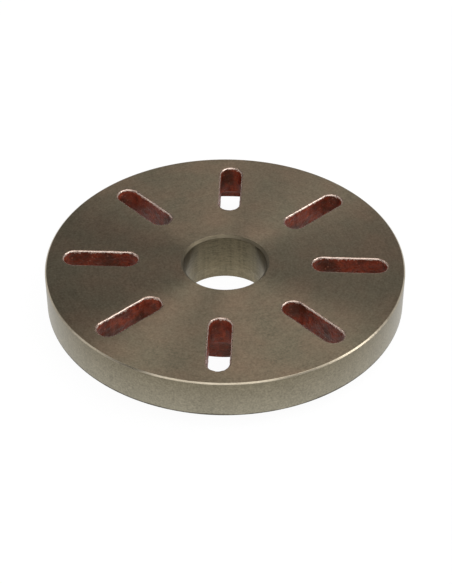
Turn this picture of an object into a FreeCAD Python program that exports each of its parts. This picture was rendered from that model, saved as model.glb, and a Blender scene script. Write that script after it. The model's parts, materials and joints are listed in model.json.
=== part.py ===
# Lathe faceplate for a size 4 camlock spindle nose: one grey-iron casting, machined where it
# meets the work or the spindle.
#
# A round web carries eight radial T-bolt slots. A deep rim stands behind its outer edge and a
# hub behind its centre, with a cast annular recess between them for the bolts' heads. The hub
# is bored through, and its back holds the short 1:4 taper that seats on the spindle nose, with
# three stud holes and their lock screws on one pitch circle.
#
# Millimetres. +Z runs along the spindle axis towards the work face. The origin is the centre of
# the hub's back face, which is the lowest plane of the part.
import FreeCAD, Part
import Sketcher
import math
import os

doc = FreeCAD.newDocument("lathe_faceplate")

# ---------------------------------------------------------------------------- driving sizes
sheet = doc.addObject("Spreadsheet::Sheet", "Sizes")
SIZES = [
    ("plate_diameter", 250, "outside diameter of the rim"),
    ("overall_thickness", 38.5, "work face to the hub's back face"),
    ("rim_thickness", 28.5, "work face to the rim's back face"),
    ("rim_width", 10.2, "rim wall, measured across its back face"),
    ("web_thickness", 20, "slotted web, work face to recess floor"),
    ("hub_diameter", 116, "hub at its back face, just within the spindle flange it seats on"),
    ("casting_draft", 3, "slope of the cast hub and rim walls, in degrees"),
    ("recess_bevel", 3.5, "bevel where the cast walls meet the recess floor"),
    ("bore_diameter", 58, "straight through bore"),
    ("bore_chamfer", 1.7, "leg of the bore's chamfer at the work face"),
    ("register_mouth_diameter", 63.513, "spindle taper, gauge diameter at the hub's back face"),
    ("register_depth", 11.5, "depth of the tapered register, a little more than the nose is long"),
    ("register_taper", 4, "taper of the register, as length per unit of diameter"),
    ("slot_count", 8, "radial slots, evenly spaced"),
    ("slot_width", 15.1, "width of a slot between its parallel walls"),
    ("slot_hub_margin", 2.75, "hub's back edge to a slot's inner end"),
    ("slot_rim_margin", 2.3, "rim wall at its back face to a slot's outer end"),
    ("slot_edge_break", 0.8, "chamfer round a slot's mouth on the work face"),
    ("rim_edge_break", 1, "chamfer on the rim's front and back edges"),
    ("hub_edge_break", 1.5, "chamfer round the hub's back face"),
    ("stud_count", 3, "camlock studs, evenly spaced"),
    ("stud_circle_diameter", 82.55, "pitch circle of the camlock studs"),
    ("stud_seat_diameter", 16.2, "seat that takes a stud's 15.875 mm body"),
    ("stud_seat_depth", 7, "depth of a stud's seat"),
    ("stud_thread_core", 9.9, "tapping drill for a stud's 7/16 inch thread"),
    ("stud_thread_depth", 26, "full depth of a stud's hole below the hub's back face"),
    ("lock_screw_spacing", 11.2, "stud axis to its lock screw's axis"),
    ("lock_head_diameter", 10.5, "counterbore for the head of an M6 lock screw"),
    ("lock_head_depth", 7.5, "depth of that counterbore"),
    ("lock_thread_core", 5, "tapping drill for M6"),
    ("lock_thread_depth", 19, "full depth of a lock screw's hole"),
    ("drill_point_angle", 118, "included angle of a drilled hole's end, in degrees"),
]
for row, (alias, value, meaning) in enumerate(SIZES, start=1):
    sheet.set(f"A{row}", meaning)
    sheet.set(f"B{row}", str(value))
    sheet.setAlias(f"B{row}", alias)
doc.recompute()

HEIGHT = "Sizes.overall_thickness"
WEB_BACK = f"{HEIGHT} - Sizes.web_thickness"
RIM_BACK = f"{HEIGHT} - Sizes.rim_thickness"
PLATE_RADIUS = "Sizes.plate_diameter / 2"
RIM_INNER_RADIUS = f"{PLATE_RADIUS} - Sizes.rim_width"
HUB_RADIUS = "Sizes.hub_diameter / 2"
BORE_RADIUS = "Sizes.bore_diameter / 2"
DRAFT = "tan(Sizes.casting_draft * 1 deg)"
HUB_ROOT_RADIUS = f"{HUB_RADIUS} + ({WEB_BACK}) * {DRAFT}"
RIM_ROOT_RADIUS = f"{RIM_INNER_RADIUS} - (Sizes.rim_thickness - Sizes.web_thickness) * {DRAFT}"

body = doc.addObject("PartDesign::Body", "Faceplate")
body.Label = "faceplate"
planes = {feature.Role: feature for feature in body.Origin.OriginFeatures}


def size_of(formula):
    """Present value of a formula over the sheet's cells, as a plain number."""
    value = sheet.evalExpression(formula)
    return float(getattr(value, "Value", value))


def bind(feature, **formulas):
    """Ties properties of a feature to formulas over the sheet's cells."""
    for name, formula in formulas.items():
        feature.setExpression(name, formula)


def new_sketch(name, plane):
    sketch = body.newObject("Sketcher::SketchObject", name)
    sketch.AttachmentSupport = (planes[plane], [""])
    sketch.MapMode = "FlatFace"
    return sketch


def place_point(sketch, geometry, point, x, y):
    """Holds a point of the sketch at formulas x and y, or on an axis where a formula is 0."""
    for kind, axis, letter, formula in (("DistanceX", -2, "x", x), ("DistanceY", -1, "y", y)):
        if formula == "0":
            sketch.addConstraint(Sketcher.Constraint("PointOnObject", geometry, point, axis))
            continue
        constraint = Sketcher.Constraint(kind, -1, 1, geometry, point, size_of(formula))
        index = sketch.addConstraint(constraint)
        name = f"{letter}_{geometry}_{point}"
        sketch.renameConstraint(index, name)
        sketch.setExpression(f"Constraints.{name}", formula)


def section(name, corners):
    """Half section in the XZ plane: a closed chain of lines through (radius, height) formulas."""
    sketch = new_sketch(name, "XZ_Plane")
    points = [FreeCAD.Vector(size_of(x), size_of(y), 0) for x, y in corners]
    count = len(corners)
    for i in range(count):
        sketch.addGeometry(Part.LineSegment(points[i], points[(i + 1) % count]), False)
    for i in range(count):
        sketch.addConstraint(Sketcher.Constraint("Coincident", i, 2, (i + 1) % count, 1))
    for i, (x, y) in enumerate(corners):
        place_point(sketch, i, 1, x, y)
    return sketch


def turned(kind, name, profile):
    """Revolution or Groove of a half section, all the way round the spindle axis."""
    feature = body.newObject(f"PartDesign::{kind}", name)
    feature.Profile = profile
    feature.ReferenceAxis = (profile, ["V_Axis"])
    feature.Angle = 360
    profile.Visibility = False
    doc.recompute()
    return feature


def edge_names(feature, wanted):
    """Names of a feature's edges that pass the test wanted(edge)."""
    edges = enumerate(feature.Shape.Edges, start=1)
    return [f"Edge{number}" for number, edge in edges if wanted(edge)]


def on_ring(radius, height):
    """Test for an edge that is a circle about the spindle axis, at this radius and height."""
    def wanted(edge):
        box = edge.BoundBox
        flat = abs(box.ZMin - height) < 1e-4 and abs(box.ZMax - height) < 1e-4
        round_it = abs(box.XMax - radius) < 1e-4 and abs(box.XMin + radius) < 1e-4
        return flat and round_it
    return wanted


def chamfered(name, base, edges, leg):
    """Chamfer on named edges of the feature before it, its leg read from a cell."""
    feature = body.newObject("PartDesign::Chamfer", name)
    feature.Base = (base, edges)
    bind(feature, Size=leg)
    doc.recompute()
    return feature


def repeated(name, originals, count):
    """Copies of features, evenly spaced about the spindle axis."""
    pattern = body.newObject("PartDesign::PolarPattern", name)
    pattern.Originals = originals
    pattern.Axis = (planes["Z_Axis"], [""])
    pattern.Angle = 360
    bind(pattern, Occurrences=count)
    body.Tip = pattern
    doc.recompute()
    return pattern


# --------------------------------------------------------------------------------- casting
# Work face on top, rim and hub behind it. The walls of the recess slope for the mould, and a
# bevel stiffens the corners where they meet the web.
casting = turned("Revolution", "Casting", section("CastingSection", [
    ("0", "0"),
    (HUB_RADIUS, "0"),
    (HUB_ROOT_RADIUS, WEB_BACK),
    (RIM_ROOT_RADIUS, WEB_BACK),
    (RIM_INNER_RADIUS, RIM_BACK),
    (PLATE_RADIUS, RIM_BACK),
    (PLATE_RADIUS, HEIGHT),
    ("0", HEIGHT),
]))

recess_corners = [
    name
    for radius in (HUB_ROOT_RADIUS, RIM_ROOT_RADIUS)
    for name in edge_names(casting, on_ring(size_of(radius), size_of(WEB_BACK)))
]
bevelled = chamfered("RecessBevels", casting, recess_corners, "Sizes.recess_bevel")

# -------------------------------------------------------------------------- bore and register
# One turned cut: straight bore, chamfer at the work face, and at the back the short taper that
# centres the plate on the spindle nose, with a small step where it ends.
REGISTER_MOUTH_RADIUS = "Sizes.register_mouth_diameter / 2"
REGISTER_END_RADIUS = f"{REGISTER_MOUTH_RADIUS} - Sizes.register_depth / Sizes.register_taper / 2"
bored = turned("Groove", "BoreAndRegister", section("BoreSection", [
    ("0", "0"),
    (REGISTER_MOUTH_RADIUS, "0"),
    (REGISTER_END_RADIUS, "Sizes.register_depth"),
    (BORE_RADIUS, "Sizes.register_depth"),
    (BORE_RADIUS, f"{HEIGHT} - Sizes.bore_chamfer"),
    (f"{BORE_RADIUS} + Sizes.bore_chamfer", HEIGHT),
    ("0", HEIGHT),
]))

# ------------------------------------------------------------------------------------- slots
# A slot runs out along a radius, round at both ends, and reaches almost from hub to rim.
slot_sketch = new_sketch("SlotOutline", "XY_Plane")
bind(slot_sketch, **{"AttachmentOffset.Base.z": HEIGHT})
HALF_SLOT = "Sizes.slot_width / 2"
SLOT_ENDS = (
    f"{HUB_RADIUS} + Sizes.slot_hub_margin + {HALF_SLOT}",
    f"{RIM_INNER_RADIUS} - Sizes.slot_rim_margin - {HALF_SLOT}",
)
half_width = size_of(HALF_SLOT)
inner, outer = [FreeCAD.Vector(size_of(formula), 0, 0) for formula in SLOT_ENDS]
side = FreeCAD.Vector(0, half_width, 0)
up = FreeCAD.Vector(0, 0, 1)
quarter = math.pi / 2
slot_sketch.addGeometry([
    Part.ArcOfCircle(Part.Circle(inner, up, half_width), quarter, 3 * quarter),
    Part.LineSegment(inner - side, outer - side),
    Part.ArcOfCircle(Part.Circle(outer, up, half_width), -quarter, quarter),
    Part.LineSegment(outer + side, inner + side),
], False)
for i in range(4):
    slot_sketch.addConstraint(Sketcher.Constraint("Tangent", i, 2, (i + 1) % 4, 1))
slot_sketch.addConstraint(Sketcher.Constraint("Equal", 0, 2))
for arc, formula in ((0, SLOT_ENDS[0]), (2, SLOT_ENDS[1])):
    place_point(slot_sketch, arc, 3, formula, "0")
radius_index = slot_sketch.addConstraint(Sketcher.Constraint("Radius", 0, half_width))
slot_sketch.renameConstraint(radius_index, "half_width")
slot_sketch.setExpression("Constraints.half_width", HALF_SLOT)

slot = body.newObject("PartDesign::Pocket", "Slot")
slot.Profile = slot_sketch
slot.Type = "ThroughAll"
slot_sketch.Visibility = False
doc.recompute()
slots = repeated("Slots", [slot], "Sizes.slot_count")

# ------------------------------------------------------------------------------ broken edges
face_height = size_of(HEIGHT)


def on_slot_mouth(edge):
    """Test for an edge in the work face that doesn't circle the spindle axis."""
    box = edge.BoundBox
    middle = edge.CenterOfMass
    flat = abs(box.ZMin - face_height) < 1e-4 and abs(box.ZMax - face_height) < 1e-4
    return flat and math.hypot(middle.x, middle.y) > 1


slots_broken = chamfered("SlotEdgeBreaks", slots, edge_names(slots, on_slot_mouth),
                         "Sizes.slot_edge_break")
rim_edges = [
    name
    for radius, height in (
        (PLATE_RADIUS, HEIGHT),
        (PLATE_RADIUS, RIM_BACK),
        (RIM_INNER_RADIUS, RIM_BACK),
    )
    for name in edge_names(slots_broken, on_ring(size_of(radius), size_of(height)))
]
rim_broken = chamfered("RimEdgeBreaks", slots_broken, rim_edges, "Sizes.rim_edge_break")
hub_edge = edge_names(rim_broken, on_ring(size_of(HUB_RADIUS), 0))
hub_broken = chamfered("HubEdgeBreak", rim_broken, hub_edge, "Sizes.hub_edge_break")

# ---------------------------------------------------------------------- studs and lock screws
# Each camlock stud screws into the hub and sits in a seat; a cap screw beside it, on the same
# pitch circle, stops it turning. The two counterbores run into each other.
STUD_CIRCLE_RADIUS = "Sizes.stud_circle_diameter / 2"
LOCK_ANGLE = "2 * asin(Sizes.lock_screw_spacing / Sizes.stud_circle_diameter)"


def drilled(name, x, y, cells):
    """Stepped blind hole up into the hub's back face, centred at formulas x and y."""
    sketch = new_sketch(f"{name}Centre", "XY_Plane")
    centre = FreeCAD.Vector(size_of(x), size_of(y), 0)
    drill_radius = size_of(f"Sizes.{cells}_thread_core / 2")
    sketch.addGeometry(Part.Circle(centre, up, drill_radius), False)
    place_point(sketch, 0, 3, x, y)
    index = sketch.addConstraint(Sketcher.Constraint("Radius", 0, drill_radius))
    sketch.renameConstraint(index, "drill_radius")
    sketch.setExpression("Constraints.drill_radius", f"Sizes.{cells}_thread_core / 2")
    doc.recompute()
    hole = body.newObject("PartDesign::Hole", name)
    hole.Profile = sketch
    hole.Reversed = True
    hole.ThreadType = "None"
    hole.DepthType = "Dimension"
    hole.HoleCutType = "Counterbore"
    hole.DrillPoint = "Angled"
    sketch.Visibility = False
    return hole


stud_hole = drilled("StudHole", "0", STUD_CIRCLE_RADIUS, "stud")
bind(stud_hole, Diameter="Sizes.stud_thread_core", Depth="Sizes.stud_thread_depth",
     HoleCutDiameter="Sizes.stud_seat_diameter", HoleCutDepth="Sizes.stud_seat_depth",
     DrillPointAngle="Sizes.drill_point_angle")
doc.recompute()
lock_hole = drilled("LockScrewHole", f"{STUD_CIRCLE_RADIUS} * sin({LOCK_ANGLE})",
                    f"{STUD_CIRCLE_RADIUS} * cos({LOCK_ANGLE})", "lock")
bind(lock_hole, Diameter="Sizes.lock_thread_core", Depth="Sizes.lock_thread_depth",
     HoleCutDiameter="Sizes.lock_head_diameter", HoleCutDepth="Sizes.lock_head_depth",
     DrillPointAngle="Sizes.drill_point_angle")
doc.recompute()
stud_holes = repeated("StudHoles", [stud_hole, lock_hole], "Sizes.stud_count")

# ------------------------------------------------------------------------- checks and export
doc.recompute()
for item in doc.Objects:
    if {"Invalid", "Error"} & set(item.State):
        raise RuntimeError(f"{item.Name} failed: {item.State}")
cuts = [bored, slot, slots, slots_broken, rim_broken, hub_broken, stud_hole, lock_hole, stud_holes]
for before, after in zip([bevelled] + cuts, cuts):
    if not after.Shape.Volume < before.Shape.Volume - 1:
        raise RuntimeError(f"{after.Name} takes nothing away")
if body.Shape.isNull() or not body.Shape.isValid() or len(body.Shape.Solids) != 1:
    raise RuntimeError("the faceplate isn't one valid solid")

os.makedirs("parts", exist_ok=True)
body.Shape.exportStep(f"parts/{body.Label}.step")
box = body.Shape.BoundBox
print(f"faceplate: {box.XLength:.3f} x {box.YLength:.3f} x {box.ZLength:.3f} mm, "
      f"z {box.ZMin:.3f} to {box.ZMax:.3f}, {body.Shape.Volume / 1000:.1f} cm3, "
      f"{len(body.Shape.Faces)} faces")
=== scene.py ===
"""Looks of a lathe faceplate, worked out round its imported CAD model.

The scene is in metres, in the CAD model's own frame: +Z is the spindle axis, towards the work
face. Sizes are written in millimetres, as on a drawing, and turned to metres in the mesh.
"""
import json
import math

import bmesh
import bpy
import numpy as np
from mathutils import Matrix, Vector


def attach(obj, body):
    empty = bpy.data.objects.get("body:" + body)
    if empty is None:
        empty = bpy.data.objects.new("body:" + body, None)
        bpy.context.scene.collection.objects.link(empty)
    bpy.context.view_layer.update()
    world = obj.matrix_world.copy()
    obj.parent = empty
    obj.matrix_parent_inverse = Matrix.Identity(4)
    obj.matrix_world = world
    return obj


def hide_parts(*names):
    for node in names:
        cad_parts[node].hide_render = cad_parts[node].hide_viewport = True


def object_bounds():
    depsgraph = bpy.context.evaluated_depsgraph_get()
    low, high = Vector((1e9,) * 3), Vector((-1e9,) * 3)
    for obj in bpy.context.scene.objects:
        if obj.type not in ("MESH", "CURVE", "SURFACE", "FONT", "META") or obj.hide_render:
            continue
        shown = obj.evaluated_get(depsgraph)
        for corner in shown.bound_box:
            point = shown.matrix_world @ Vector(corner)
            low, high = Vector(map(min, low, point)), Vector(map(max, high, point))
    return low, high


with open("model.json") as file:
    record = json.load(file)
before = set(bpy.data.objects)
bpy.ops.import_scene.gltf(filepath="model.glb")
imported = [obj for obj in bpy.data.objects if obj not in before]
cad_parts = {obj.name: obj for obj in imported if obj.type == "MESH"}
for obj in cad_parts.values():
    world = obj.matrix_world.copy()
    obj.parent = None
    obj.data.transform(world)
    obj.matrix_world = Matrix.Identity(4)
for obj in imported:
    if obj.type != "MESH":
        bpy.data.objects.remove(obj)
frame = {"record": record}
cad_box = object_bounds()
mounts = {mount["name"]: mount for mount in frame["record"]["mounts"]}


# ------------------------------------------------------------------------------------------
# Turned iron of the outside: rim, chamfers and the plain bands of the work face.
# The real plate is one grey-iron casting. A facing tool has cut its rim and work face, and
# left fine marks that run round the axis. Every other section adds skin to the same casting.
AROUND = 336  # columns of points round the axis, 42 for each slot
HEIGHT = cad_box[1].z * 1000
RIM_RADIUS = cad_box[1].x * 1000
RIM_BACK = 10.0
RIM_WALL = 10.2
RIM_CHAMFER = 1.0
EDGE_SOFTNESS = 0.22  # a machined corner is never quite sharp
RECESS_HEIGHT = 18.5
DRAFT = math.tan(math.radians(3))
SLOT_BAND = (56.0, 118.0)  # radii between which the work face is cut by slots

skin = []  # (finish, grid of points in rows and columns, whether its columns close)
finishes = {}  # the materials of the skin, by name
column_angles = 2 * np.pi * np.arange(AROUND) / AROUND


def ring(radius, height):
    """Circle of points round the axis: (r cos a, r sin a, z) at each column's angle a."""
    circle = np.stack([np.cos(column_angles), np.sin(column_angles)], axis=1)
    return np.c_[radius * circle, np.full(AROUND, float(height))]


def bend(before, corner, after, reach, share):
    """Corner rounded as a parabola: (1-t)^2 A + 2t(1-t) P + t^2 C, for t given by share.

    P is the corner, and A and C stand on its two sides at the distance reach.
    """
    before, corner, after = np.array(before), np.array(corner), np.array(after)
    start = corner + reach * (before - corner) / np.linalg.norm(before - corner)
    end = corner + reach * (after - corner) / np.linalg.norm(after - corner)
    t = np.asarray(share)[:, None]
    return (1 - t) ** 2 * start + 2 * t * (1 - t) * corner + t**2 * end


def turned_skin(corners, names, reaches, spacing):
    """Turned surface of a chain of (radius, height) corners, one named finish for each leg.

    Each inner corner is rounded by bend, with its reach, and its middle is where one leg's
    finish gives way to the next. A leg is divided into rows no more than its spacing apart.
    """
    arcs = [np.array([corners[0]])]
    steps = np.linspace(0, 1, 5)
    for i in range(1, len(corners) - 1):
        arcs.append(bend(corners[i - 1], corners[i], corners[i + 1], reaches[i - 1], steps))
    arcs.append(np.array([corners[-1]]))
    for i, finish in enumerate(names):
        head = arcs[i][len(arcs[i]) // 2:]
        tail = arcs[i + 1][:len(arcs[i + 1]) // 2 + 1]
        length = np.linalg.norm(tail[0] - head[-1])
        share = np.linspace(0, 1, int(np.ceil(length / spacing[i])) + 1)[1:-1, None]
        rows = np.r_[head, head[-1] + share * (tail[0] - head[-1]), tail]
        skin.append((finish, np.stack([ring(r, z) for r, z in rows]), True))


def hex_colour(code):
    """Linear RGBA of an sRGB hex colour: ((c + 0.055) / 1.055) ^ 2.4, or c / 12.92 when dark."""
    c = np.array([int(code[i:i + 2], 16) for i in (1, 3, 5)]) / 255
    return (*np.where(c > 0.04045, ((c + 0.055) / 1.055) ** 2.4, c / 12.92), 1.0)


def add(tree, kind, inputs=(), **settings):
    """Adds a node, gives it its settings, sets or links its inputs, and returns its outputs."""
    node = tree.nodes.new(f"ShaderNode{kind}")
    for name, value in settings.items():
        setattr(node, name, value)
    for name, value in dict(inputs).items():
        if isinstance(value, bpy.types.NodeSocket):
            tree.links.new(value, node.inputs[name])
        else:
            node.inputs[name].default_value = value
    return node.outputs


def new_finish(name):
    """An empty node material, kept under its name, and its node tree."""
    material = bpy.data.materials.new(name)
    material.use_nodes = True
    material.node_tree.nodes.clear()
    finishes[name] = material
    return material.node_tree


def on_the_lathe(tree):
    """Where a point lies on the lathe: place, bearing, radius and height, in millimetres.

    The bearing is the unit vector from the axis towards the point, square to the axis.
    """
    place = add(tree, "TexCoord")["Object"]
    place = add(tree, "VectorMath", {0: place, "Scale": 1000.0}, operation="SCALE")[0]
    flat = add(tree, "VectorMath", {0: place, 1: (1, 1, 0)}, operation="MULTIPLY")[0]
    radius = add(tree, "VectorMath", {0: flat}, operation="LENGTH")["Value"]
    bearing = add(tree, "VectorMath", {0: flat}, operation="NORMALIZE")[0]
    height = add(tree, "SeparateXYZ", {0: place})["Z"]
    return place, bearing, radius, height


def speckle(tree, place, size, detail=2.0):
    """Noise from 0 to 1 whose grains are about the given size in millimetres."""
    return add(tree, "TexNoise", {"Vector": place, "Scale": 1 / size, "Detail": detail})["Fac"]


def tool_marks(tree, bearing, across, pitch, turns, detail=2.0):
    """Noise drawn out round the axis, as a tool leaves it: read at (bearing x turns, across /
    pitch), so that a mark is a pitch wide and about 1 / turns of a radian long."""
    across = add(tree, "Math", {0: across, 1: 1 / pitch}, operation="MULTIPLY")[0]
    across = add(tree, "CombineXYZ", {"Z": across})[0]
    wound = add(tree, "VectorMath", {0: bearing, 1: (turns, turns, 0), 2: across},
                operation="MULTIPLY_ADD")[0]
    return add(tree, "TexNoise", {"Vector": wound, "Scale": 1.0, "Detail": detail})["Fac"]


def layered(tree, middle, layers):
    """A middle value plus each layer's strength x (its noise - 0.5)."""
    total = middle - sum(strength for _, strength in layers) / 2
    for noise, strength in layers:
        total = add(tree, "Math", {0: noise, 1: strength, 2: total}, operation="MULTIPLY_ADD")[0]
    return total


def machined(tree, colour, tone, roughness, relief, depth, anisotropic):
    """Bare turned iron: its colour times tone, with grooves along the tool's path.

    Light spreads across the grooves and stays narrow along them, so the tangent runs round the
    axis. relief is a noise that bumps the surface by depth in millimetres.
    """
    base = add(tree, "VectorMath", {0: colour, "Scale": tone}, operation="SCALE")[0]
    normal = add(tree, "Bump", {"Height": relief, "Distance": depth / 1000, "Strength": 1.0})[0]
    shader = add(tree, "BsdfPrincipled", {
        "Base Color": base, "Metallic": 1.0, "Roughness": roughness, "Normal": normal,
        "Anisotropic": anisotropic, "Anisotropic Rotation": 0.25,
        "Tangent": add(tree, "Tangent", direction_type="RADIAL", axis="Z")[0]})[0]
    return shader


# Grey cast iron, faced on a lathe and wiped with oil. Brown-grey, with the dark grain of its
# graphite, cloudy oil stains, and the fans of light that turned grooves throw on both sides of
# the axis. The feed is about 0.2 mm a turn and the grain is about as fine, too fine to show, so
# they are drawn 1 mm and 1.3 mm wide.
tree = new_finish("faced_cast_iron")
place, bearing, radius, _ = on_the_lathe(tree)
feed = tool_marks(tree, bearing, radius, 1.0, 4)
grain = speckle(tree, place, 1.3)
mottle = speckle(tree, place, 3.4)
stain = speckle(tree, place, 30.0, 3.0)
tint = add(tree, "MapRange", {"Value": stain, "From Min": 0.35, "From Max": 0.65})[0]
colour = add(tree, "Mix", {0: tint, 6: hex_colour("#736a58"), 7: hex_colour("#786856")},
             data_type="RGBA")[2]
tone = layered(tree, 1.0, [(feed, 0.30), (grain, 0.90), (mottle, 0.25), (stain, 0.20)])
roughness = layered(tree, 0.35, [(mottle, 0.06), (stain, 0.05)])
shader = machined(tree, colour, tone, roughness, layered(tree, 0.5, [(feed, 0.6), (grain, 0.4)]),
                  0.012, 0.9)
add(tree, "OutputMaterial", {"Surface": shader})

# The rim is turned dry after the face, with a finer feed: lighter, greyer and a little greener,
# evenly grained, with faint bands that run up it where the casting's hardness changes. Its colour
# is painted lighter at its foot and darker towards the face, a painted reflection of the sheet,
# and a painted shade darkens its foot. The feed of about 0.1 mm is drawn 0.8 mm wide, and the
# grain as on the face.
tree = new_finish("turned_rim")
place, bearing, _, height = on_the_lathe(tree)
feed = tool_marks(tree, bearing, height, 0.8, 7)
grain = speckle(tree, place, 1.3)
mottle = speckle(tree, place, 3.0)
bands = tool_marks(tree, bearing, height, 30.0, 40)
stain = speckle(tree, place, 22.0, 3.0)
# Painted reflection: the rim's colour runs from lighter at its foot to darker at the face.
painted_rim_reflection = add(tree, "MapRange", {"Value": height, "From Min": RIM_BACK, "From Max": HEIGHT})[0]
colour = add(tree, "Mix", {0: painted_rim_reflection, 6: hex_colour("#928c7b"), 7: hex_colour("#7c7461")},
             data_type="RGBA")[2]
tone = layered(tree, 1.0, [(feed, 0.20), (grain, 0.90), (mottle, 0.25), (bands, 0.20),
                           (stain, 0.25)])
# Painted shade: the rim's foot and back are darkened to 0.3 of their tone, with a noisy upper
# edge.
foot_shade = layered(tree, 0.0, [(stain, 1.5), (mottle, 0.8)])
foot_shade = add(tree, "Math", {0: height, 1: foot_shade}, operation="ADD")[0]
foot_shade = add(tree, "MapRange", {"Value": foot_shade, "From Min": RIM_BACK + 1.4,
                              "From Max": RIM_BACK + 2.3, "To Min": 0.3})[0]
tone = add(tree, "Math", {0: tone, 1: foot_shade}, operation="MULTIPLY")[0]
roughness = layered(tree, 0.36, [(mottle, 0.06), (stain, 0.04)])
shader = machined(tree, colour, tone, roughness, layered(tree, 0.5, [(feed, 0.6), (grain, 0.4)]),
                  0.012, 0.55)
add(tree, "OutputMaterial", {"Surface": shader})

# The turned chamfers are the freshest cut: a narrow form tool leaves them smoother and lighter
# than the surfaces on both sides, and handling keeps them bright, with small dull nicks a few
# millimetres long.
tree = new_finish("turned_chamfer")
place, bearing, _, height = on_the_lathe(tree)
nicks = speckle(tree, place, 2.4, 2.0)
wear = tool_marks(tree, bearing, height, 20.0, 7)
colour = add(tree, "Mix", {0: wear, 6: hex_colour("#8a816f"), 7: hex_colour("#c3b8a5")},
             data_type="RGBA")[2]
tone = layered(tree, 1.0, [(nicks, 0.50)])
roughness = layered(tree, 0.30, [(nicks, 0.10), (wear, 0.10)])
shader = machined(tree, colour, tone, roughness, nicks, 0.01, 0.4)
add(tree, "OutputMaterial", {"Surface": shader})

# The rim's back edges are painted dark and dull, a painted shade for the shadowed sheet under the
# plate.
tree = new_finish("oil_dark_edge")
place, _, _, _ = on_the_lathe(tree)
foot_shade = speckle(tree, place, 2.0, 3.0)
colour = add(tree, "Mix", {0: foot_shade, 6: hex_colour("#2c2821"), 7: hex_colour("#5d5546")},
             data_type="RGBA")[2]
shader = machined(tree, colour, 1.0, layered(tree, 0.45, [(foot_shade, 0.2)]), foot_shade, 0.02, 0.2)
add(tree, "OutputMaterial", {"Surface": shader})

rim_inner = RIM_RADIUS - RIM_WALL
rim_root = rim_inner - (RECESS_HEIGHT - RIM_BACK) * DRAFT
turned_skin(
    [
        (rim_inner - RIM_CHAMFER * DRAFT, RIM_BACK + RIM_CHAMFER),
        (rim_inner + RIM_CHAMFER, RIM_BACK),
        (RIM_RADIUS - RIM_CHAMFER, RIM_BACK),
        (RIM_RADIUS, RIM_BACK + RIM_CHAMFER),
        (RIM_RADIUS, HEIGHT - RIM_CHAMFER),
        (RIM_RADIUS - RIM_CHAMFER, HEIGHT),
        (SLOT_BAND[1], HEIGHT),
    ],
    ["oil_dark_edge", "turned_rim", "oil_dark_edge", "turned_rim", "turned_chamfer",
     "faced_cast_iron"],
    [EDGE_SOFTNESS] * 5,
    [2, 6, 2, 6, 2, 6],
)


# ------------------------------------------------------------------------------------------
# Bore and register: bored right through, opened at the back to the short 1:4 taper that seats
# on the spindle nose. Bored and reamed on the same machine, with finer marks than the face.
bore_radius = mounts["centre_bore"]["dims"]["r_mm"]
BORE_CHAMFER = 1.7
REGISTER_DEPTH = 11.5
REGISTER_MOUTH = 63.513 / 2
REGISTER_END = REGISTER_MOUTH - REGISTER_DEPTH / 8
STUD_BAND = (32.45, 54.0)  # radii between which the hub's face is cut by the stud holes

# Bored cast iron: grey-green and satin. The bar chatters a little, so light and dark bands run
# along the bore across the finer rings of the feed. Its lower end is painted lighter and its upper
# end darker, a painted reflection.
# Rings of about 0.15 mm are drawn 0.8 mm wide.
tree = new_finish("bored_cast_iron")
place, bearing, _, height = on_the_lathe(tree)
feed = tool_marks(tree, bearing, height, 0.8, 5)
chatter = tool_marks(tree, bearing, height, 60.0, 9, 2.0)
grain = speckle(tree, place, 1.3)
stain = speckle(tree, place, 14.0, 3.0)
colour = add(tree, "Mix", {0: stain, 6: hex_colour("#827a63"), 7: hex_colour("#7c7059")},
             data_type="RGBA")[2]
tone = layered(tree, 1.0, [(feed, 0.90), (chatter, 0.90), (grain, 0.70), (stain, 0.40)])
# Painted reflection: tone lighter towards the back of the bore, darker towards the face.
painted_bore_reflection = add(tree, "MapRange", {"Value": height, "From Min": REGISTER_DEPTH - 4, "From Max": 26,
                               "To Min": 0.82, "To Max": 0.61})[0]
tone = add(tree, "Math", {0: tone, 1: painted_bore_reflection}, operation="MULTIPLY")[0]
roughness = layered(tree, 0.32, [(chatter, 0.12), (stain, 0.06)])
shader = machined(tree, colour, tone, roughness, layered(tree, 0.5, [(feed, 0.6), (grain, 0.4)]),
                  0.015, 0.6)
add(tree, "OutputMaterial", {"Surface": shader})

# The bore's lead-in is cut with a dull countersink and holds oil, so it stays as dark as the face.
tree = new_finish("oiled_lead_in")
place, bearing, _, height = on_the_lathe(tree)
rings = tool_marks(tree, bearing, height, 0.7, 4)
oil = speckle(tree, place, 6.0, 3.0)
colour = add(tree, "Mix", {0: oil, 6: hex_colour("#5d5546"), 7: hex_colour("#6a6252")},
             data_type="RGBA")[2]
tone = layered(tree, 1.0, [(rings, 0.3), (oil, 0.3)])
shader = machined(tree, colour, tone, layered(tree, 0.48, [(oil, 0.1)]), rings, 0.02, 0.4)
add(tree, "OutputMaterial", {"Surface": shader})

# The hub's back is faced with a coarser feed and never polished by use, so its rings show more
# and it is darker with packing oil. The 0.3 mm feed is drawn 1.2 mm wide.
tree = new_finish("faced_hub_back")
place, bearing, radius, _ = on_the_lathe(tree)
feed = tool_marks(tree, bearing, radius, 1.2, 3)
grain = speckle(tree, place, 0.9)
stain = speckle(tree, place, 18.0, 4.0)
colour = add(tree, "Mix", {0: stain, 6: hex_colour("#857a68"), 7: hex_colour("#75624c")},
             data_type="RGBA")[2]
tone = layered(tree, 1.0, [(feed, 0.35), (grain, 0.25), (stain, 0.35)])
roughness = layered(tree, 0.33, [(stain, 0.12), (grain, 0.05)])
shader = machined(tree, colour, tone, roughness, feed, 0.03, 0.75)
add(tree, "OutputMaterial", {"Surface": shader})

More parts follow.
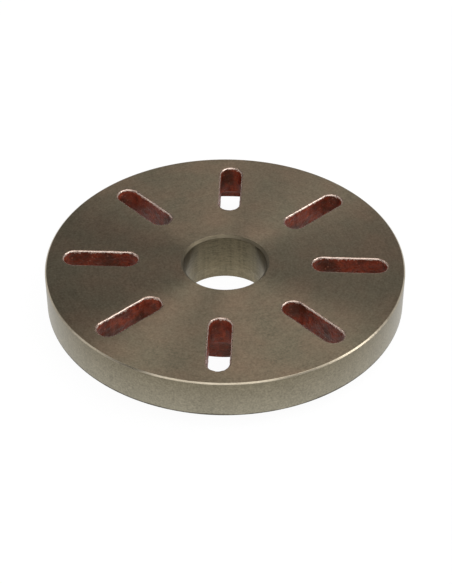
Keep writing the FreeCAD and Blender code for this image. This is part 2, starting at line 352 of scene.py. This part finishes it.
turned_skin(
    [
        (SLOT_BAND[0], HEIGHT),
        (bore_radius + BORE_CHAMFER, HEIGHT),
        (bore_radius, HEIGHT - BORE_CHAMFER),
        (bore_radius, REGISTER_DEPTH),
        (REGISTER_END, REGISTER_DEPTH),
        (REGISTER_MOUTH, 0),
        (STUD_BAND[0], 0),
    ],
    ["faced_cast_iron", "oiled_lead_in", "bored_cast_iron", "bored_cast_iron",
     "bored_cast_iron", "faced_hub_back"],
    [0.3, 0.3, EDGE_SOFTNESS, 0.1, EDGE_SOFTNESS],
    [9, 2, 6, 2, 4, 2],
)


# ------------------------------------------------------------------------------------------
# Recess: the rough-cast ring between hub and rim that leaves room for bolt heads. It keeps its
# sand-cast skin under brushed-on dark red enamel, and its corners have the pattern's fillets.
HUB_RADIUS = 58.0
HUB_CHAMFER = 1.5
CAST_FILLET = 6.0
hub_root = HUB_RADIUS + RECESS_HEIGHT * DRAFT
CAST_STEPS = np.linspace(0, 1, 25)
hub_fillet = bend((HUB_RADIUS, 0), (hub_root, RECESS_HEIGHT), (90, RECESS_HEIGHT),
                  CAST_FILLET, CAST_STEPS)
rim_fillet = bend((90, RECESS_HEIGHT), (rim_root, RECESS_HEIGHT), (rim_inner, RIM_BACK),
                  CAST_FILLET, CAST_STEPS)
HUB_HANDOVER, RIM_HANDOVER = 8, 16  # steps of the fillets between which slots cut the web
RECESS_BAND = (hub_fillet[HUB_HANDOVER, 0], rim_fillet[RIM_HANDOVER, 0])
web_profile = np.r_[hub_fillet[HUB_HANDOVER:], rim_fillet[:RIM_HANDOVER + 1]]
hub_wall = np.linspace(HUB_CHAMFER, hub_fillet[0, 1], 7)
rim_wall = np.linspace(rim_fillet[-1, 1], RIM_BACK + RIM_CHAMFER, 4)[1:]


def cast_relief(points, share=1.0):
    """Points moved by a rough-cast skin's relief: a sum of sine waves a sin(k.p + f) a side.

    Each of x, y and z has its own waves, in seeded directions, 2.5 to 9 mm long, with heights
    that grow with their length. share scales the relief, down to 0 beside a machined surface.
    """
    seeded = np.random.default_rng(41)
    moved = np.zeros(points.shape)
    for _ in range(54):
        length = seeded.uniform(2.5, 9.0)
        direction = seeded.normal(size=3)
        wave = points @ (direction * 2 * np.pi / length / np.linalg.norm(direction))
        height = seeded.normal(size=3) * 0.0030 * length
        moved += np.sin(wave + seeded.uniform(0, 2 * np.pi))[..., None] * height
    return points + moved * np.asarray(share)[..., None]


def rise(value, low, high):
    """Smooth step from 0 at low to 1 at high: 3t^2 - 2t^3."""
    t = np.clip((value - low) / (high - low), 0, 1)
    return t * t * (3 - 2 * t)


def web_back(radius):
    """Height of the recess floor and its two fillets at a radius, along web_profile."""
    return np.interp(radius, web_profile[:, 0], web_profile[:, 1])


# Dark red enamel brushed on the sand-cast skin, as foundries do to seal it. Half glossy over
# the grit of the mould, blotchy where the coat is thin, with soot caught in the pits. Pale specks,
# partly dust and partly painted glints, dot it, and beside the faced edge the coat is chipped down
# to bright iron, partly painted glints too. The 0.3 mm sand grain is drawn 1 mm wide.
tree = new_finish("brushed_red_enamel")
place, _, _, height = on_the_lathe(tree)
grit = speckle(tree, place, 1.4, 3.0)
coat = speckle(tree, place, 5.0, 3.0)
soot = speckle(tree, place, 15.0, 5.0)
tint = add(tree, "MapRange", {"Value": coat, "From Min": 0.30, "From Max": 0.70})[0]
red = add(tree, "Mix", {0: tint, 6: hex_colour("#6c281b"), 7: hex_colour("#984730")},
          data_type="RGBA")[2]
soot = layered(tree, 0.5, [(soot, 1.0), (grit, 0.5)])
thin = add(tree, "MapRange", {"Value": soot, "From Min": 0.49, "From Max": 0.64,
                              "To Max": 0.85})[0]
red = add(tree, "Mix", {0: thin, 6: red, 7: hex_colour("#3c2014")}, data_type="RGBA")[2]
tone = layered(tree, 1.0, [(grit, 2.4)])
red = add(tree, "VectorMath", {0: red, "Scale": tone}, operation="SCALE")[0]
# Pale specks, partly dust and partly painted glints.
dust_and_glints = add(tree, "TexVoronoi", {"Vector": place, "Scale": 1 / 1.8})
rare = add(tree, "SeparateColor", {0: dust_and_glints["Color"]})[0]
size = add(tree, "MapRange", {"Value": rare, "From Min": 0.72, "From Max": 1.0,
                              "To Min": 0.0, "To Max": 0.38})[0]
dust_and_glints = add(tree, "Math", {0: dust_and_glints["Distance"], 1: size}, operation="LESS_THAN")[0]
dust_and_glints = add(tree, "Math", {0: dust_and_glints, 1: 0.4}, operation="MULTIPLY")[0]
red = add(tree, "Mix", {0: dust_and_glints, 6: red, 7: hex_colour("#b8806a")}, data_type="RGBA")[2]
# Chips down to bright iron beside the mouth: worn paint, and partly painted glints.
edge = layered(tree, 0.0, [(grit, 5.0), (coat, 3.0)])
edge = add(tree, "Math", {0: height, 1: edge}, operation="ADD")[0]
chips_and_glints = add(tree, "MapRange", {"Value": edge, "From Min": HEIGHT - 1.35,
                                 "From Max": HEIGHT - 1.0})[0]
relief = layered(tree, 0.5, [(grit, 0.8), (coat, 0.2)])
normal = add(tree, "Bump", {"Height": relief, "Distance": 0.0007, "Strength": 1.0})[0]
painted = add(tree, "BsdfPrincipled", {
    "Base Color": red, "Roughness": layered(tree, 0.40, [(coat, 0.25), (grit, 0.15)]),
    "Specular IOR Level": 0.3, "Specular Tint": hex_colour("#f0c8a8"), "Normal": normal})[0]
bare = add(tree, "BsdfPrincipled", {
    "Base Color": hex_colour("#d2b8a8"), "Metallic": 0.6, "Roughness": 0.34,
    "Normal": normal})[0]
shader = add(tree, "MixShader", {0: chips_and_glints, 1: painted, 2: bare})[0]
add(tree, "OutputMaterial", {"Surface": shader})

rows = [ring(HUB_RADIUS + z * DRAFT, z) for z in hub_wall]
rows += [ring(r, z) for r, z in hub_fillet[1:HUB_HANDOVER + 1]]
wall = np.stack(rows)
skin.append(("brushed_red_enamel", cast_relief(wall, rise(wall[..., 2], HUB_CHAMFER, 5)), True))
rows = [ring(r, z) for r, z in rim_fillet[RIM_HANDOVER:]]
rows += [ring(rim_inner - (z - RIM_BACK) * DRAFT, z) for z in rim_wall]
wall = np.stack(rows)
fade = rise(wall[..., 2], rim_wall[-1], rim_wall[-1] + 1.2)
skin.append(("brushed_red_enamel", cast_relief(wall, fade), True))


# ------------------------------------------------------------------------------------------
# Slots: eight T-bolt slots cast through the web, painted with the recess. Only their mouths
# are worked: facing opens them, and a file and a deburring tool break the edge by hand.
slot = mounts["slots_along_x"]["dims"]
SLOT_COUNT = 8
slot_half = slot["hole_r_mm"]
slot_middle = slot["spacing_x_mm"] / 2
slot_straight = slot["slot_length_mm"] / 2 - slot_half
SLOT_BREAK = 0.8
ARC_CELLS = AROUND // SLOT_COUNT
SIDE_CELLS = 42
WALL_ROWS = 20
half_arc = np.linspace(-np.pi / 2, np.pi / 2, ARC_CELLS + 1)[:-1]
along_side = np.linspace(0, 1, SIDE_CELLS + 1)[:-1]
outer_end, inner_end = slot_middle + slot_straight, slot_middle - slot_straight

# The loop of columns round a slot: outer end, side, inner end, side, against the clock.
spine = np.concatenate([
    np.full(ARC_CELLS, outer_end),
    outer_end + (inner_end - outer_end) * along_side,
    np.full(ARC_CELLS, inner_end),
    inner_end + (outer_end - inner_end) * along_side,
])
outward = np.concatenate([
    np.stack([np.cos(half_arc), np.sin(half_arc)], axis=1),
    np.tile([0.0, 1.0], (SIDE_CELLS, 1)),
    np.stack([-np.cos(half_arc), -np.sin(half_arc)], axis=1),
    np.tile([0.0, -1.0], (SIDE_CELLS, 1)),
])


def slot_loop(half_width):
    """Outline of a slot along +X: (spine, 0) + half width times the outward direction."""
    half_width = np.broadcast_to(half_width, spine.shape)[:, None]
    return np.c_[spine, np.zeros_like(spine)] + half_width * outward


def sector_loop(inner, outer):
    """Edge of the 45 degree sector round a slot: arc, radial line, arc, radial line.

    Rows on the radial lines crowd towards both ends, as (1 - cos(pi s)) / 2, where fillets are.
    """
    step = 2 * np.pi / AROUND
    arc = (np.arange(ARC_CELLS) - ARC_CELLS // 2) * step
    side = (1 - np.cos(np.pi * along_side)) / 2
    edge = np.full(SIDE_CELLS, ARC_CELLS // 2 * step)
    radius = np.concatenate([
        np.full(ARC_CELLS, outer), outer + (inner - outer) * side,
        np.full(ARC_CELLS, inner), inner + (outer - inner) * side,
    ])
    angle = np.concatenate([arc, edge, -arc, -edge])
    return np.stack([radius * np.cos(angle), radius * np.sin(angle)], axis=1)


def between(first, last, shares):
    """Rows of points in straight lines from a first loop to a last one, at the given shares."""
    shares = np.asarray(shares)[:, None, None]
    return first + shares * (last - first)


def at_height(loop, height):
    """Flat loops of (x, y) points, given a height."""
    return np.concatenate([loop, np.broadcast_to(height, loop.shape[:-1])[..., None]], axis=-1)


def turned_by(points, angle):
    """Points turned round the axis by an angle."""
    cos, sin = np.cos(angle), np.sin(angle)
    return points @ np.array([[cos, sin, 0], [-sin, cos, 0], [0, 0, 1]])


def hand_work(seeded, depth):
    """Unevenness of a hand-worked edge round a slot: a sum of sines of the column's share of
    the loop, with whole numbers of waves so that it closes, and heights that fall with them."""
    share = np.arange(len(spine)) / len(spine)
    waves = np.arange(1, 46)
    heights = seeded.normal(size=len(waves)) * depth / np.sqrt(1 + waves / 6)
    starts = seeded.uniform(0, 2 * np.pi, len(waves))
    return np.sin(2 * np.pi * share[:, None] * waves + starts) @ heights


# Cast iron filed by hand at the slots' mouths: the brightest metal of the plate, slightly pink
# beside the enamel, with short file strokes across the edge and dull spots that it missed, and
# duller on the brink. Strokes of about 0.3 mm are drawn 1.6 mm wide.
tree = new_finish("filed_edge")
place, _, _, height = on_the_lathe(tree)
strokes = speckle(tree, place, 1.6, 3.0)
missed = speckle(tree, place, 6.0, 2.0)
colour = add(tree, "Mix", {0: missed, 6: hex_colour("#d6c5ba"), 7: hex_colour("#a08b7f")},
             data_type="RGBA")[2]
rubbed = add(tree, "MapRange", {"Value": height, "From Min": HEIGHT - 0.16,
                                "From Max": HEIGHT - 0.06})[0]
colour = add(tree, "Mix", {0: rubbed, 6: colour, 7: hex_colour("#8d7668")},
             data_type="RGBA")[2]
tone = layered(tree, 0.95, [(strokes, 0.6), (missed, 0.8)])
base = add(tree, "VectorMath", {0: colour, "Scale": tone}, operation="SCALE")[0]
normal = add(tree, "Bump", {"Height": strokes, "Distance": 0.0001, "Strength": 1.0})[0]
shader = add(tree, "BsdfPrincipled", {
    "Base Color": base, "Metallic": 1.0, "Normal": normal,
    "Roughness": layered(tree, 0.26, [(strokes, 0.14), (missed, 0.12)])})[0]
add(tree, "OutputMaterial", {"Surface": shader})

hand = np.random.default_rng(8)
face_edge = sector_loop(*SLOT_BAND)
back_edge = sector_loop(*RECESS_BAND)
for number in range(SLOT_COUNT):
    angle = 2 * np.pi * number / SLOT_COUNT
    wall_drift = hand_work(hand, 0.028)
    break_size = SLOT_BREAK + np.clip(hand_work(hand, 0.035), -0.4, 0.35)
    mouth = slot_loop(slot_half + wall_drift + break_size)
    throat = slot_loop(slot_half + wall_drift)

    # The edge is a flat bevel with both its corners rounded off, and a shallow burnished brink
    # where the tool has rubbed the face beside it. Both rows are shares of the edge break.
    drop = np.array([0, 0.06, 0.10, 0.19, 0.5, 0.88, 0.97, 1.0])
    inset = np.array([-0.45, 0, 0.18, 0.34, 0.64, 0.93, 0.99, 1.0])
    bevel = between(mouth, throat, inset)
    face = at_height(between(face_edge, bevel[0], [0, 0.45, 0.85, 1]), HEIGHT)
    skin.append(("faced_cast_iron", turned_by(face, angle), True))
    bevel = at_height(bevel, HEIGHT - drop[:, None] * break_size)
    skin.append(("filed_edge", turned_by(bevel, angle), True))

    top = HEIGHT - break_size
    foot = slot_loop(slot_half + 0.4 * wall_drift)
    floor = web_back(np.linalg.norm(foot, axis=1))
    share = np.linspace(0, 1, WALL_ROWS + 1)
    wall = between(at_height(throat, top), at_height(foot, floor), share)
    wall = turned_by(wall, angle)
    roughness = rise(share, 0, 0.1)[:, None] * np.ones(len(spine))
    skin.append(("brushed_red_enamel", cast_relief(wall, roughness), True))

    back = between(foot, back_edge, np.linspace(0, 1, 9) ** 1.15)
    back = at_height(back, web_back(np.linalg.norm(back, axis=-1)))
    skin.append(("brushed_red_enamel", cast_relief(turned_by(back, angle)), True))


# ------------------------------------------------------------------------------------------
# Hub's back: faced square to the bore, with three camlock stud holes and, overlapping each,
# the counterbore of its lock screw. Drilled, counterbored and tapped; the threads don't show.
STUD_RADIUS = mounts["stud_seats"]["dims"]["pcd_mm"] / 2
SEAT = (mounts["stud_seats"]["dims"]["hole_r_mm"], 7.0)
STUD_DRILL = (mounts["stud_threads"]["dims"]["hole_r_mm"], 26.0)
SCREW_SPACING = 11.2
COUNTERBORE = (5.25, 7.5)
SCREW_DRILL = (mounts["lock_screws"]["dims"]["hole_r_mm"], 19.0)
DRILL_POINT = math.tan(math.radians(118 / 2))
HOLE_CELLS = (42, 16)  # columns along a hole group's arcs and along its radial edges
HOLE_START = 58  # column of the rings at which the first hole group's patch begins
# Drilled and counterbored iron: darker than faced iron, as little light gets in, with rings from
# the drill's lips up the walls and oil left in the bottom. Rings of 0.2 mm are drawn 0.7 mm.
tree = new_finish("drilled_iron")
place, bearing, _, height = on_the_lathe(tree)
rings = tool_marks(tree, bearing, height, 0.7, 3)
oil = speckle(tree, place, 4.0, 3.0)
colour = add(tree, "Mix", {0: oil, 6: hex_colour("#8a8172"), 7: hex_colour("#6a5a48")},
             data_type="RGBA")[2]
tone = layered(tree, 1.0, [(rings, 0.35), (oil, 0.25)])
base = add(tree, "VectorMath", {0: colour, "Scale": tone}, operation="SCALE")[0]
normal = add(tree, "Bump", {"Height": rings, "Distance": 0.00006, "Strength": 1.0})[0]
shader = add(tree, "BsdfPrincipled", {
    "Base Color": base, "Metallic": 1.0, "Normal": normal,
    "Roughness": layered(tree, 0.36, [(oil, 0.15), (rings, 0.08)])})[0]
add(tree, "OutputMaterial", {"Surface": shader})

turned_skin(
    [
        (STUD_BAND[1], 0),
        (HUB_RADIUS - HUB_CHAMFER, 0),
        (HUB_RADIUS + HUB_CHAMFER * DRAFT, HUB_CHAMFER),
    ],
    ["faced_hub_back", "turned_chamfer"],
    [EDGE_SOFTNESS],
    [1.3, 1],
)


def round_arc(centre, radius, start, end, cells):
    """Arc of points: centre + r (cos a, sin a), for a in equal steps from start to end."""
    a = np.linspace(start, end, cells + 1)
    return centre + radius * np.stack([np.cos(a), np.sin(a)], axis=1)


def drilled(centre, drill, top_loop, top, finish):
    """Skin of a blind hole, from its drill point down to its mouth and out to a loop round it.

    The hole's columns lie on rays from its centre to the loop's points.
    """
    radius, depth = drill
    rays = top_loop - centre
    rim = centre + radius * rays / np.linalg.norm(rays, axis=1)[:, None]
    tip = depth + radius / DRILL_POINT
    cone = [at_height(centre + s * (rim - centre), tip - s * (tip - depth)) for s in (0, 0.5, 1)]
    walls = [at_height(rim, z) for z in np.linspace(depth, top, 7)]
    seat = [at_height(rim + s * (top_loop - rim), top) for s in (0, 0.5, 1)]
    for part in (cone, walls, seat):
        skin.append((finish, part, True))


stud_angle = np.pi / 2
lock_angle = stud_angle - 2 * math.asin(SCREW_SPACING / (2 * STUD_RADIUS))
stud = STUD_RADIUS * np.array([np.cos(stud_angle), np.sin(stud_angle)])
lock = STUD_RADIUS * np.array([np.cos(lock_angle), np.sin(lock_angle)])
axis = np.arctan2(*(lock - stud)[::-1])  # from the stud's middle to its lock screw's
reach = (SEAT[0] ** 2 - COUNTERBORE[0] ** 2 + SCREW_SPACING**2) / (2 * SCREW_SPACING)
stud_open = math.acos(reach / SEAT[0])
lock_open = math.acos((SCREW_SPACING - reach) / COUNTERBORE[0])
LOOP = 2 * sum(HOLE_CELLS)
LOCK_CELLS, BITE_CELLS = 44, 18
outside = round_arc(stud, SEAT[0], axis + stud_open, axis + 2 * np.pi - stud_open,
                    LOOP - LOCK_CELLS)
lock_arc = round_arc(lock, COUNTERBORE[0], axis - np.pi + lock_open, axis + np.pi - lock_open,
                     LOCK_CELLS)
bite = round_arc(lock, COUNTERBORE[0], axis + np.pi - lock_open, axis + np.pi + lock_open,
                 BITE_CELLS)
mouth = np.r_[outside[:-1], lock_arc[:-1]]
start_column = HOLE_START
first = 2 * np.pi * start_column / AROUND
last = first + 2 * np.pi * HOLE_CELLS[0] / AROUND
arc = np.linspace(first, last, HOLE_CELLS[0] + 1)[:-1]
side = np.linspace(0, 1, HOLE_CELLS[1] + 1)[:-1]
low, high = STUD_BAND
radius = np.concatenate([np.full(len(arc), high), high + (low - high) * side,
                         np.full(len(arc), low), low + (high - low) * side])
angle = np.concatenate([arc, np.full(len(side), last), first + last - arc,
                        np.full(len(side), first)])
patch_edge = np.stack([radius * np.cos(angle), radius * np.sin(angle)], axis=1)
middle = (stud + lock) / 2
bearing = np.unwrap(np.arctan2(*(patch_edge - middle).T[::-1]))
mouth_bearing = np.arctan2(*(mouth - middle).T[::-1])
shift = np.argmin(np.abs((mouth_bearing - bearing[0] + np.pi) % (2 * np.pi) - np.pi))
mouth = np.roll(mouth, -shift, axis=0)

for number in range(3):
    angle = 2 * np.pi * number / 3
    before = len(skin)
    face = between(mouth, patch_edge, np.linspace(0, 1, 6))
    skin.append(("faced_hub_back", at_height(face, 0.0), True))
    skin.append(("drilled_iron", [at_height(outside, z) for z in (7.0, 3.5, 0.0)], False))
    skin.append(("drilled_iron", [at_height(lock_arc, z) for z in (7.5, 7.0, 3.5, 0.0)], False))
    skin.append(("drilled_iron", [at_height(bite, z) for z in (7.5, 7.0)], False))
    drilled(stud, STUD_DRILL, np.r_[outside[:-1], bite[:0:-1]], SEAT[1], "drilled_iron")
    drilled(lock, SCREW_DRILL, np.r_[lock_arc[:-1], bite[:-1]], COUNTERBORE[1], "drilled_iron")
    for k in range(before, len(skin)):
        finish, rows, closed = skin[k]
        skin[k] = (finish, turned_by(np.stack(rows), angle), closed)

    # Plain face from this hole group's patch round to the next one's.
    columns = np.arange(HOLE_CELLS[0], AROUND // 3 + 1) + start_column + number * AROUND // 3
    radii = low + (high - low) * np.linspace(0, 1, HOLE_CELLS[1] + 1)
    turn = 2 * np.pi * columns / AROUND
    plain = radii[:, None, None] * np.stack([np.cos(turn), np.sin(turn)], axis=1)
    skin.append(("faced_hub_back", at_height(plain, 0.0), False))


# ------------------------------------------------------------------------------------------
# The casting as one closed skin. Neighbouring grids share their edge points, which are merged,
# and corners sharper than a rounded edge's steps stay crisp.
order = list(finishes)
points, faces, finish_of_face, count = [], [], [], 0
for finish, rows, closed in skin:
    rows = np.asarray(rows)
    height, width = rows.shape[:2]
    index = count + np.arange(height * width).reshape(height, width)
    if closed:
        index = np.c_[index, index[:, 0]]
    quads = np.stack([index[:-1, :-1], index[:-1, 1:], index[1:, 1:], index[1:, :-1]], axis=-1)
    points.append(rows.reshape(-1, 3))
    faces.append(quads.reshape(-1, 4))
    finish_of_face.append(np.full(len(faces[-1]), order.index(finish)))
    count += height * width
points, faces = np.concatenate(points) / 1000, np.concatenate(faces)
finish_of_face = np.concatenate(finish_of_face)

mesh = bpy.data.meshes.new("faceplate_casting")
mesh.from_pydata(points.tolist(), [], faces.tolist())
mesh.polygons.foreach_set("material_index", finish_of_face.astype(np.int32))
welded = bmesh.new()
welded.from_mesh(mesh)
bmesh.ops.remove_doubles(welded, verts=welded.verts, dist=2e-7)
welded.to_mesh(mesh)
welded.free()
mesh.polygons.foreach_set("use_smooth", np.ones(len(mesh.polygons), bool))
mesh.set_sharp_from_angle(angle=math.radians(35))
for material in finishes.values():
    mesh.materials.append(material)
casting = bpy.data.objects.new("faceplate_casting", mesh)
bpy.context.scene.collection.objects.link(casting)
# Shading follows the large flat faces, so the small faces of a rounded edge don't tilt them.
flats = casting.modifiers.new("flats", "WEIGHTED_NORMAL")
flats.mode = "FACE_AREA"
flats.keep_sharp = True
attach(casting, "root")
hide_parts("faceplate")


# ------------------------------------------------------------------------------------------
# Studio: a white sheet under the plate, a dim room with a pale horizon, and six soft lamps.
# The sheet glows white to the eye and to metal, and is dimmer as a source of light.
SHEET = 8.0
SHEET_DROP = 0.0003  # the sheet lies just under the hub, so the two don't share a plane
sheet_mesh = bpy.data.meshes.new("sheet")
corners = [(-SHEET, -SHEET), (SHEET, -SHEET), (SHEET, SHEET), (-SHEET, SHEET)]
sheet_mesh.from_pydata([(x, y, -SHEET_DROP) for x, y in corners], [], [(0, 1, 2, 3)])
sheet = bpy.data.objects.new("sheet", sheet_mesh)
bpy.context.scene.collection.objects.link(sheet)
material = bpy.data.materials.new("white_sheet")
material.use_nodes = True
tree = material.node_tree
tree.nodes.clear()
path = add(tree, "LightPath")
seen = add(tree, "Math", {0: path["Is Camera Ray"], 1: path["Is Glossy Ray"]},
           operation="MAXIMUM")[0]
seen = add(tree, "Math", {0: seen, 1: path["Is Transmission Ray"]}, operation="MAXIMUM")[0]
glow = add(tree, "Emission", {"Color": (1, 1, 1, 1), "Strength": 0.96})[0]
shade = add(tree, "BsdfDiffuse", {"Color": (0.05, 0.05, 0.05, 1)})[0]
shown = add(tree, "AddShader", {0: glow, 1: shade})[0]
paper = add(tree, "BsdfDiffuse", {"Color": (0.75, 0.75, 0.75, 1)})[0]
surface = add(tree, "MixShader", {0: seen, 1: paper, 2: shown})[0]
add(tree, "OutputMaterial", {"Surface": surface})
sheet_mesh.materials.append(material)

# The room is white at the horizon, as the sheet is, and dims to a grey ceiling above 20 degrees.
world = bpy.data.worlds.new("studio_room")
bpy.context.scene.world = world
world.use_nodes = True
tree = world.node_tree
tree.nodes.clear()
up = add(tree, "SeparateXYZ", {0: add(tree, "TexCoord")["Generated"]})["Z"]
strength = add(tree, "MapRange", {
    "Value": up, "From Min": math.sin(math.radians(11)), "From Max": math.sin(math.radians(20)),
    "To Min": 1.0, "To Max": 0.25}, interpolation_type="SMOOTHSTEP")[0]
room = add(tree, "Background", {"Color": (1, 1, 1, 1), "Strength": strength})[0]
add(tree, "OutputWorld", {"Surface": room})


LAMP_DISTANCE = 1.6
LAMP_TARGET = Vector((0, 0, 0.03))


def softbox(name, azimuth, elevation, width, height, watts):
    """Area light that faces the plate from a distance, with its width level. It stands in the
    direction of an azimuth and an elevation in degrees: (cos e cos a, cos e sin a, sin e)."""
    a, e = math.radians(azimuth), math.radians(elevation)
    lamp = bpy.data.lights.new(name, "AREA")
    lamp.shape = "RECTANGLE"
    lamp.size, lamp.size_y = width, height
    lamp.energy = watts
    light = bpy.data.objects.new(name, lamp)
    towards = Vector((math.cos(e) * math.cos(a), math.cos(e) * math.sin(a), math.sin(e)))
    light.location = LAMP_TARGET + LAMP_DISTANCE * towards
    light.rotation_euler = towards.to_track_quat("Z", "Y").to_euler()
    bpy.context.scene.collection.objects.link(light)


# The box overhead and the two behind the plate throw the bright fans on the work face. The front,
# right and left boxes light the far edges of the slots.
softbox("overhead_box", 7, 68, 1.70, 1.70, 18.4)
softbox("back_left_box", 114, 57, 0.30, 0.30, 1.63)
softbox("back_box", 86, 37, 0.30, 0.30, 0.38)
softbox("front_box", 266, 51, 1.80, 0.70, 8.3)
softbox("right_box", -3, 33, 0.60, 0.60, 4.5)
softbox("left_box", 184, 35, 0.60, 0.60, 1.7)

camera = bpy.data.cameras.new("camera")
camera.lens = 99.53
camera.sensor_width = 36
camera.clip_start, camera.clip_end = 0.05, 30
eye = bpy.data.objects.new("camera", camera)
eye.location = (0.03866, -0.87828, 0.73803)
aim = Vector((0.00209, -0.03306, 0.0385))
eye.rotation_euler = (eye.location - aim).to_track_quat("Z", "Y").to_euler()
bpy.context.scene.collection.objects.link(eye)
bpy.context.scene.camera = eye
bpy.context.scene.view_settings.view_transform = "Standard"
